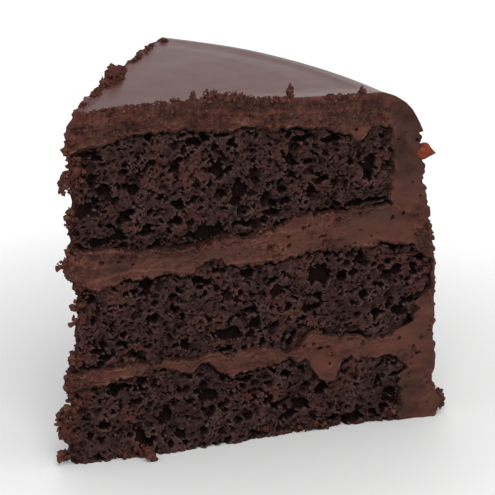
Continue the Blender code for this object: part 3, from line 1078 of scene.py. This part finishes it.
# The crumbly edge that stands on the first cut: places along it and how high the crumbs rise there
edge_rise = profile(
    (6, 0.1), (9, 0.5), (12, 0.1), (15.5, 0.5), (19, 0.1), (26.5, 0.5), (27.6, 0.3), (28.8, 1.8),
    (29.6, 0.9), (30.3, 1.9), (31.2, 0.5), (33.2, 0.7), (34.2, 1.6), (35.3, 0.9), (36.6, 0.9),
    (38, 2.9), (39.8, 3.1), (41.2, 2.3), (43, 1.9), (45, 2.1), (48.4, 1.7), (49.6, 0.6), (50.8, 1.4),
    (52, 0.3), (60, 0.1),
)
EDGE_STEP = 0.6 * MM
# The same along the second cut, in the lumps that the knife dragged out
back_rise = profile(
    (7, 0), (8, 0.5), (9.5, 0.5), (11, 0), (17, 0), (19, 0.9), (21.5, 1.5), (24, 1.2), (26.5, 1.1),
    (29, 0.7), (31.5, 1.3), (33.5, 1.2), (35, 2.2), (37.5, 2.9), (40.5, 2.9), (43.5, 2.4), (46.5, 1.6),
    (49.5, 0.9), (52.5, 0.4), (54, 0), (57, 0), (59, 0.5), (61, 0), (73, 0), (76, 0.7), (80, 1),
    (83, 0.5), (86, 0),
)
LEAST_RISE = 0.3 * MM


def edge_crumbs():
    """Crumbs heaped along the upper edges of both cuts."""
    for spot in np.arange(6 * MM, 60 * MM, EDGE_STEP):
        rise = edge_rise(spot)
        size = 0.55 * MM + 0.1 * rise
        ridge = crumb_ridge(spot, 0.0) * falling(spot, 30, 6)
        start = on_top(spot, size / spot, 0.1 * MM + ridge)
        yield start, rise * UP, size, 3 + int(rise / (0.35 * MM))
    for spot in np.arange(7 * MM, 86 * MM, EDGE_STEP * 1.5):
        rise = back_rise(spot)
        if rise < LEAST_RISE:
            continue
        size = 0.5 * MM + 0.32 * rise
        start = on_top(spot, ANGLE - 0.8 * size / spot, 0.1 * MM)
        yield start, 0.7 * rise * UP, size, 3 + int(rise / (0.3 * MM))


def wall_crumbs():
    """Small crumbs stuck to the coat's wall where the first cut ends."""
    for index, height in enumerate(np.arange(12, 74, 1.2) * MM):
        roll = lattice(index, 0, 0, 33)
        if roll > 0.6:
            growth = 0.4 * MM * roll * ALONG
            yield on_wall(0.01, height, -0.3 * MM), growth, 0.3 * MM + 0.4 * MM * roll, 4


# The drop on the wall: its turn, its height and how far out it sits, its radius and how round it is
DROP_PLACE = (0.008, 78.6 * MM, 1.6 * MM)
DROP_RADIUS = 2.6 * MM
DROP_SQUASH = np.array((1.0, 0.8, 0.95))


def sticky_drop(name, towards):
    """A drop stuck to the coat, drawn out to a blunt point."""
    ball, faces = ball_of(4)
    towards = towards / np.linalg.norm(towards)
    ahead = np.clip(ball @ towards, 0, 1)
    sideways = ball - np.outer(ball @ towards, towards)
    swell = 1 + 0.12 * noise(*ball.T, 0.9, 77) + 0.05 * noise(*ball.T, 0.4, 78)
    points = ball * swell[:, None] - sideways * (0.7 * ahead**2.5)[:, None]
    points = points + np.outer(0.5 * ahead**4, towards)
    return smooth_piece(name, list(points * DROP_RADIUS * DROP_SQUASH + on_wall(*DROP_PLACE)), faces)


BACK_EDGE = 0.985 * ANGLE
# Clusters of crumbs that break the slice's outline, in millimetres but for the turns. First comes where each
# starts and last the size and the number of its crumbs. On the upper edges: the distance from the tip, the
# turn, the height above the glaze, and how far the cluster grows along the first cut and up
TOP_CLUSTERS = (
    (39.5, BACK_EDGE, 0.4, 0, 2, 2, 26), (44.5, BACK_EDGE, 0.2, 0, 1, 1.5, 14),
    (31.5, BACK_EDGE, 0.2, 0, 0.5, 1.1, 10), (22, BACK_EDGE, 0.2, 0, 0.5, 1.1, 10),
    (91, BACK_EDGE, -0.4, 0, 0.4, 1.2, 10), (62, 0.01, 0.2, 0.5, 3, 0.9, 16),
    (83, 0.01, 0.1, 0, 0.9, 1.3, 12), (34.3, 0.03, 0.3, 0, 3.4, 0.85, 18),
)
# On the tip: the height, how far out, and how far the cluster grows out and up
TIP_CLUSTERS = (
    (90.5, 0, 1, -2.4, 1.3, 12), (83.3, 0, 5, -3, 1.6, 22), (80.2, 3.4, 1.2, -2.2, 1.3, 12),
    (72, 0, 0.8, -5, 1.1, 14), (59, 0, 1.2, 1, 1.5, 10), (57.8, 0, 4.6, -0.4, 1.2, 14),
    (45.2, 0, 2.6, -0.8, 1.2, 13), (40.6, 0, 2.8, -1, 1.2, 14), (30, 0, 1.4, -0.8, 1.2, 9),
    (16.8, 0, 5.6, -2.2, 1.7, 24), (12.5, 3.4, -2.2, -4.5, 1.6, 20), (14, 0.4, 0.2, -5, 1.5, 16),
    (8, 0, 2.6, 0.6, 1.8, 18), (3.5, 0, 3.4, -1, 1.5, 14),
)
# At the foot of the first cut: the distance from the tip, the height, and the growth along it and out of it
FOOT_CLUSTERS = (
    (20, 1.6, 2, 7.4, 1.7, 34), (15, 1.4, 0, 3, 1.3, 14), (26, 1.2, 1, 1.6, 1.2, 10),
)
# On the wall: the turn, the height, how far out, and the growth along the first cut and up
WALL_CLUSTERS = (
    (0.02, 57, -0.6, 1.2, -1.4, 1.1, 12), (0.02, 55, 0.9, -0.4, -3.4, 1.1, 12),
    (0.02, 41, -0.4, 1, -2.6, 0.9, 9), (0.02, 14, -0.4, 1.2, 0, 0.7, 10),
    (0.03, 6.4, -0.8, 2.6, -1.8, 1.7, 22), (0.03, 4.5, -0.4, 1.8, -2, 1.9, 16),
)


def outline_clusters():
    """The start, growth, size and number of every cluster of the tables."""
    for radius, turn, above, along, rise, size, count in TOP_CLUSTERS:
        yield on_top(radius * MM, turn, above * MM), along * MM * ALONG + rise * MM * UP, size * MM, count
    for height, out, reach, rise, size, count in TIP_CLUSTERS:
        yield at_tip(height * MM, out * MM), UP * (rise * MM) - BISECTOR * (reach * MM), size * MM, count
    for radius, height, along, out, size, count in FOOT_CLUSTERS:
        yield placed(radius * MM, 0.0, height * MM), along * MM * ALONG - out * MM * ACROSS, size * MM, count
    for turn, height, out, along, rise, size, count in WALL_CLUSTERS:
        yield on_wall(turn, height * MM, out * MM), along * MM * ALONG + rise * MM * UP, size * MM, count


BED_COLUMNS, BED_ROWS = 80, 5


def crumb_bed(name, strips):
    """A hidden bed for small crumbs: strips in millimetres, with how often crumbs lie on each."""
    points, faces, often = [], [], []
    for (start, end), (low, high), place, share in strips:
        first = len(points)
        for along in np.linspace(start * MM, end * MM, BED_COLUMNS):
            for across in np.linspace(low * MM, high * MM, BED_ROWS):
                points.append(place(along, across))
                clump = ease(2.4 * noise(*points[-1], 4 * MM, 91) + 0.15)
                often.append(share * clump)
        for i, j in np.ndindex(BED_COLUMNS - 1, BED_ROWS - 1):
            corner = first + i * BED_ROWS + j
            faces.append((corner, corner + BED_ROWS, corner + BED_ROWS + 1, corner + 1))
    bed = smooth_piece(name, points, faces)
    bed.data.attributes.new("often", "FLOAT", "POINT").data.foreach_set("value", often)
    return bed


CRUMB_SIZES = {
    "Crumbs per square metre": 1.2e6,
    "Smallest radius": 0.22 * MM,
    "Largest radius": 1.0 * MM,
    "Raggedness": 1.8 * MM,
    "Seed": 3,
}


def crumb_tree(finish):
    """Geometry nodes that strew crumbs over a bed: many small ones and a few larger, no two alike."""
    tree = bpy.data.node_groups.new("strewn_crumbs", "GeometryNodeTree")
    floats = [(name, "Float") for name in CRUMB_SIZES if name != "Seed"]
    for name, kind in (("Bed", "Geometry"), *floats, ("Seed", "Int")):
        tree.interface.new_socket(name, in_out="INPUT", socket_type="NodeSocket" + kind)
    tree.interface.new_socket("Crumbs", in_out="OUTPUT", socket_type="NodeSocketGeometry")
    bed, rate, smallest, largest, raggedness, seed = tree.nodes.new("NodeGroupInput").outputs[:6]

    def node(kind, sockets, output=0, **settings):
        return new_node(tree, kind, sockets, output, **settings)

    often = node("GeometryNodeInputNamedAttribute", {"Name": "often"}, data_type="FLOAT")
    density = node("ShaderNodeMath", {0: often, 1: rate}, operation="MULTIPLY")
    strewing = {"Mesh": bed, "Density": density, "Seed": seed}
    spots = node("GeometryNodeDistributePointsOnFaces", strewing, "Points")
    roll = node("FunctionNodeRandomValue", {"Seed": seed}, 1, data_type="FLOAT")
    rare = node("ShaderNodeMath", {0: roll, 1: 4.0}, operation="POWER")
    size = node("ShaderNodeMapRange", {"Value": rare, "To Min": smallest, "To Max": largest})
    turn = node("FunctionNodeRandomValue", {"Max": (6.28, 6.28, 6.28)}, data_type="FLOAT_VECTOR")
    ball = node("GeometryNodeMeshUVSphere", {"Segments": 7, "Rings": 5, "Radius": 1.0}, "Mesh")
    placing = {"Points": spots, "Instance": ball, "Rotation": turn, "Scale": size}
    crumbs = node("GeometryNodeInstanceOnPoints", placing)
    crumbs = node("GeometryNodeRealizeInstances", {"Geometry": crumbs})
    bumps = node("ShaderNodeTexNoise", {"Scale": 1 / (0.6 * MM), "Detail": 2.0}, "Color")
    centred = node("ShaderNodeVectorMath", {0: bumps, 1: (0.5, 0.5, 0.5)}, operation="SUBTRACT")
    push = node("ShaderNodeVectorMath", {0: centred, "Scale": raggedness}, operation="SCALE")
    crumbs = node("GeometryNodeSetPosition", {"Geometry": crumbs, "Offset": push})
    crumbs = node("GeometryNodeSetShadeSmooth", {"Geometry": crumbs})
    crumbs = node("GeometryNodeSetMaterial", {"Geometry": crumbs, "Material": finish})
    tree.links.new(crumbs, tree.nodes.new("NodeGroupOutput").inputs["Crumbs"])
    return tree


def strew(bed, tree, name, sizes):
    """Runs the tree on a bed and returns its crumbs as a plain mesh."""
    modifier = bed.modifiers.new("strewn_crumbs", "NODES")
    modifier.node_group = tree
    sockets = {item.name: item.identifier for item in tree.interface.items_tree if item.in_out == "INPUT"}
    for label, value in sizes.items():
        modifier[sockets[label]] = value
    evaluated = bed.evaluated_get(bpy.context.evaluated_depsgraph_get())
    mesh = bpy.data.meshes.new_from_object(evaluated)
    mesh.name = name
    for corner in mesh.vertices:
        corner.co.z = max(corner.co.z, ON_FLOOR)
    bpy.data.objects.remove(bed, do_unlink=True)
    return linked(name, mesh)


FOOT_CRUMBS_OUT = 0.2 * MM
UNDER_CRUMBS_OUT = 0.55 * MM


def small_crumbs(finish):
    """Small crumbs along the tip, the upper edges and the foot of both cuts."""

    def across_tip(height, side):
        turn = 0.0 if side < 0 else ANGLE
        return placed(abs(side) + 1.0 * MM, turn, height) - BISECTOR * tip_stand(height, TIP_START)

    def top_edge(turn):
        def place(along, inwards):
            own_turn = turn + inwards / max(along, 4 * MM)
            return on_top(along, own_turn, 0.2 * MM + crumb_ridge(along, own_turn))

        return place

    def under_edge(along, above):
        return on_top(along, 0.0, crumb_ridge(along, 0.0) + above) + OUT_OF_FRONT * UNDER_CRUMBS_OUT

    def at_foot(turn, outwards):
        return lambda along, height: placed(along, turn, height) + outwards * FOOT_CRUMBS_OUT

    strips = (
        ((1, 87), (-2.4, 2.4), across_tip, 1.4),
        ((3, 60), (0.0, 1.4), top_edge(0.0), 2.5),
        ((4, 84), (-0.9, 0.1), under_edge, 3.4),
        ((3, 88), (-1.6, -0.3), top_edge(ANGLE), 0.9),
        ((3, 98), (0.3, 3), at_foot(0.0, OUT_OF_FRONT), 0.4),
        ((3, 104), (0.3, 3), at_foot(ANGLE, OUT_OF_BACK), 0.5),
    )
    bed = crumb_bed("crumb_bed", strips)
    return strew(bed, crumb_tree(finish), "small_crumbs", CRUMB_SIZES)


# ------------ finishes


class Finish:
    """A material whose nodes are added one at a time."""

    def __init__(self, name, **constants):
        self.material = bpy.data.materials.new(name)
        self.material.use_nodes = True
        self.tree = self.material.node_tree
        self.set(**constants)
        self.spot = self.node("ShaderNodeTexCoord", {}, "Object")

    def set(self, **sockets):
        shader = self.tree.nodes["Principled BSDF"]
        for name, value in sockets.items():
            feed(self.tree, shader.inputs[name.replace("_", " ")], value)
        return self.material

    def node(self, kind, sockets, output=0, **settings):
        return Value(self, new_node(self.tree, kind, sockets, output, **settings))

    def attribute(self, name):
        return self.node("ShaderNodeAttribute", {}, "Fac", attribute_name=name)

    def grain(self, size, detail, spot=None):
        """Noise from 0 to 1 whose spots are about size millimetres across."""
        sockets = {"Vector": spot or self.spot, "Scale": 1 / (size * MM), "Detail": detail, "Roughness": 0.6}
        return self.node("ShaderNodeTexNoise", sockets, "Fac")

    def between(self, value, low, high):
        """0 where value is under low, 1 where it is over high, and a smooth step between."""
        sockets = {"Value": value, "From Min": low, "From Max": high}
        return self.node("ShaderNodeMapRange", sockets, interpolation_type="SMOOTHSTEP")

    def patches(self, size, detail, low, high):
        return self.between(self.grain(size, detail), low, high)

    def colours(self, share, first, second):
        return self.node("ShaderNodeMix", {0: share, 6: first, 7: second}, 2, data_type="RGBA")

    def ramp(self, share, stops):
        """Colours that run through the stops, each a share and its colour."""
        colour = self.node("ShaderNodeValToRGB", {"Fac": share}, "Color")
        elements = colour.socket.node.color_ramp.elements
        for _ in stops[2:]:
            elements.new(0.5)
        for element, (place, tint) in zip(elements, stops):
            element.position, element.color = place, (*tint, 1)
        return colour

    def raised(self, pattern, reach):
        """Bumps of this pattern, reach millimetres tall."""
        sockets = {"Height": pattern, "Distance": reach * MM, "Strength": 1.0}
        self.set(Normal=self.node("ShaderNodeBump", sockets, "Normal"))


def sponge_finish():
    """Dark crumb: greyish webs with a painted highlight on their crests, pores painted nearly black as shade,
    patches of painted shade for dim hollows and pinholes, and a few reddish, drier patches.
    """
    finish = Finish("chocolate_sponge", Roughness=0.75, Specular_IOR_Level=0.04)
    openness, dry = finish.attribute("openness"), finish.attribute("tone")
    fine = finish.grain(0.8, 4.0)
    web = finish.colours(finish.between(fine, 0.3, 0.7), (0.0195, 0.0084, 0.0079), (0.0585, 0.0306, 0.0281))
    # Painted shade: dim patches that stand for hollows in the crumb
    web = finish.colours(finish.patches(3.2, 3.0, 0.42, 0.58) * 0.6, web, (0.017, 0.0075, 0.0072))
    web = finish.colours(dry * finish.between(fine, 0.2, 0.6), web, (0.075, 0.027, 0.020))
    # Painted shade: dark pinholes that stand for pores too small to model
    web = finish.colours(finish.patches(0.55, 2.0, 0.55, 0.64) * 0.6, web, (0.012, 0.0052, 0.0050))
    # Painted highlight on the crests of the webs, which the crumble slot holds for the sponge
    web = finish.colours(finish.attribute("crumble") * 0.5, web, (0.125, 0.075, 0.067))
    # Painted shade: the deeper a pore is open below the crumb, the nearer black it is painted
    pore_shaded = finish.colours(finish.between(openness, 0.1, 2.1), web, (0.0070, 0.0029, 0.0027))
    finish.raised(finish.grain(0.6, 3.0), 0.2)
    return finish.set(Base_Color=pore_shaded)


def buttercream_colour(finish, fineness):
    """The cut buttercream: smooth and warm where it is clean, grainy and darker where it holds crumb, partly
    from dark crumb and partly from painted shade in its grain, with painted glints and painted shade in its
    air holes.
    """
    openness, tone, crumble = (finish.attribute(name) for name in ("openness", "tone", "crumble"))
    flattened = {0: finish.spot, 1: (1.0, 1.0, 3.0)}
    streaks = finish.grain(6, 3.0, finish.node("ShaderNodeVectorMath", flattened, operation="MULTIPLY"))
    fine = finish.grain(0.9, 4.0)
    level = tone * 0.5 + 0.5 + (streaks - 0.5) * 0.5 + (fine - 0.5) * (crumble + 0.2)
    stops = (
        (0.0, (0.015, 0.0052, 0.0042)),
        (0.3, (0.035, 0.0125, 0.0096)),
        (0.55, (0.063, 0.0215, 0.0155)),
        (0.8, (0.080, 0.0290, 0.0205)),
        (1.0, (0.118, 0.053, 0.040)),
    )
    base = finish.ramp(level, stops)
    olive = finish.patches(8, 2.0, 0.42, 0.62)
    base = finish.colours(olive * 0.5, base, (0.052, 0.0245, 0.0160))
    torn = finish.patches(1.5, 3.0, 0.50, 0.64) * crumble
    base = finish.colours(torn * 0.75, base, (0.038, 0.0105, 0.0080))
    # Painted highlights: glints of light on wet grains where the buttercream holds crumb
    painted_glints = finish.patches(0.55, 1.5, 0.60, 0.70) * crumble
    base = finish.colours(painted_glints * 0.45, base, (0.155, 0.080, 0.063))
    finish.raised(finish.grain(0.7, 4.0) * (crumble * 0.9 + fineness), 0.5)
    # Painted shade in the air holes: the deeper the hole, the nearer black
    return finish.colours(finish.between(openness, 0.1, 0.5), base, (0.014, 0.0036, 0.0028))


def buttercream_finish():
    """Chocolate buttercream: a soft sheen where it is smooth."""
    finish = Finish("chocolate_buttercream", Specular_IOR_Level=0.08)
    dull = finish.attribute("crumble") * 0.25 + 0.45
    return finish.set(Base_Color=buttercream_colour(finish, 0.1), Roughness=dull)


def crumb_finish():
    """Loose crumb: drier, browner and lighter than the cut sponge, with specks of painted highlight."""
    finish = Finish("dry_crumb", Roughness=0.85, Specular_IOR_Level=0.06)
    brown = finish.patches(2.2, 2.0, 0.35, 0.65)
    brown = finish.colours(brown, (0.034, 0.0120, 0.0092), (0.074, 0.0265, 0.0195))
    # Painted highlight: light specks on the crumbs
    brown = finish.colours(finish.patches(0.5, 3.0, 0.46, 0.72) * 0.8, brown, (0.140, 0.056, 0.042))
    finish.raised(finish.grain(0.4, 4.0), 0.25)
    return finish.set(Base_Color=brown)


def amber_finish():
    """Reddish amber, as of a sticky drop of jam or burnt sugar."""
    finish = Finish("red_amber", Roughness=0.5, Specular_IOR_Level=0.1)
    cloud = finish.patches(1.6, 2.0, 0.35, 0.65)
    return finish.set(Base_Color=finish.colours(cloud, (0.075, 0.016, 0.008), (0.160, 0.024, 0.008)))


def glaze_finish():
    """Dark satin glaze, slightly uneven in gloss."""
    finish = Finish("dark_glaze", Specular_IOR_Level=0.066)
    on_cut = finish.between(finish.attribute("on_cut"), 0.2, 0.8)
    cloud = finish.patches(11, 2.0, 0.3, 0.7)
    tone = finish.colours(cloud, (0.061, 0.0188, 0.0168), (0.071, 0.0228, 0.0205))
    tone = finish.colours(on_cut, tone, buttercream_colour(finish, 0.0))
    gloss = finish.patches(6, 2.0, 0.3, 0.7) * 0.04 + 0.28 + on_cut * 0.5
    return finish.set(Base_Color=tone, Roughness=gloss)


FINISHES = {"sponge": sponge_finish(), "buttercream": buttercream_finish(), "glaze": glaze_finish()}
loose = crumb_finish()


def on_cake(piece, slot, *nodes, finish=None):
    """Gives a piece its own finish or its slot's, and puts it on the cake in place of its plain solids."""
    piece.data.materials.append(finish or FINISHES[slot])
    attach(piece, "root")
    if nodes:
        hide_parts(*nodes)


on_cake(make_sponge("sponge_bottom_open", board, bottom_top, 1), "sponge", "sponge_bottom")
on_cake(make_sponge("sponge_middle_open", middle_base, middle_top, 2), "sponge", "sponge_middle")
on_cake(make_sponge("sponge_top_open", top_base, top_top, 3), "sponge", "sponge_top")
on_cake(make_filling("filling_lower_spread", bottom_top, middle_base), "buttercream", "filling_lower")
on_cake(make_filling("filling_upper_spread", middle_top, top_base), "buttercream", "filling_upper")
on_cake(make_roof("coat_roof", top_top), "buttercream", "buttercream_coat")
on_cake(make_wall("coat_wall", top_top, 8), "buttercream", "buttercream_coat")
on_cake(make_glaze("glaze_cap"), "glaze", "glaze")
on_cake(crumb_cluster("larger_crumbs", outline_clusters()), "sponge", finish=loose)
on_cake(crumb_cluster("edge_crumbs", [*edge_crumbs(), *wall_crumbs()]), "sponge", finish=loose)
on_cake(small_crumbs(loose), "sponge", finish=loose)
on_cake(sticky_drop("amber_drop", ALONG - 0.3 * UP), "glaze", finish=amber_finish())


# ------------ floor, light and camera


def plain_floor():
    """A pale floor, a touch greyer round the cake: painted shade."""
    half = FLOOR_SIZE / 2
    corners = [(-half, -half, 0), (half, -half, 0), (half, half, 0), (-half, half, 0)]
    floor = smooth_piece("floor", corners, [(0, 1, 2, 3)])
    finish = Finish("pale_floor", Roughness=0.6)
    away = finish.node("ShaderNodeVectorMath", {0: finish.spot}, "Value", operation="LENGTH")
    # Painted shade round the cake, fading out with distance
    pale = finish.colours(finish.between(away, *FLOOR_FADE), FLOOR_NEAR, FLOOR_FAR)
    floor.data.materials.append(finish.set(Base_Color=pale))


def soft_light():
    world = bpy.data.worlds.new("studio")
    bpy.context.scene.world = world
    world.use_nodes = True
    background = world.node_tree.nodes["Background"]
    background.inputs["Color"].default_value = (1, 1, 1, 1)
    background.inputs["Strength"].default_value = SKY_STRENGTH
    bpy.context.scene.view_settings.view_transform = "Standard"
    for name, place, aim, size, power in LAMPS:
        lamp = bpy.data.lights.new(name, "AREA")
        lamp.shape, lamp.size, lamp.energy = "DISK", size, power
        holder = linked(name, lamp)
        holder.location = place
        holder.rotation_euler = (Vector(aim) - holder.location).to_track_quat("-Z", "Y").to_euler()


def photo_camera():
    aim = tip_at(cad_high.z) + FRONT_LINE * AIM_ALONG + INWARDS * AIM_INWARDS
    aim.z = AIM_HEIGHT
    level = math.cos(VIEW_RISE)
    back = Vector((math.sin(VIEW_TURN) * level, -math.cos(VIEW_TURN) * level, math.sin(VIEW_RISE)))
    camera = bpy.data.cameras.new("camera")
    camera.lens, camera.sensor_width = VIEW_LENS, 36.0
    camera.clip_start, camera.clip_end = 0.01, 20
    holder = linked("camera", camera)
    holder.location = aim + back * VIEW_DISTANCE
    holder.rotation_euler = back.to_track_quat("Z", "Y").to_euler()
    bpy.context.scene.camera = holder


plain_floor()
soft_light()
photo_camera()
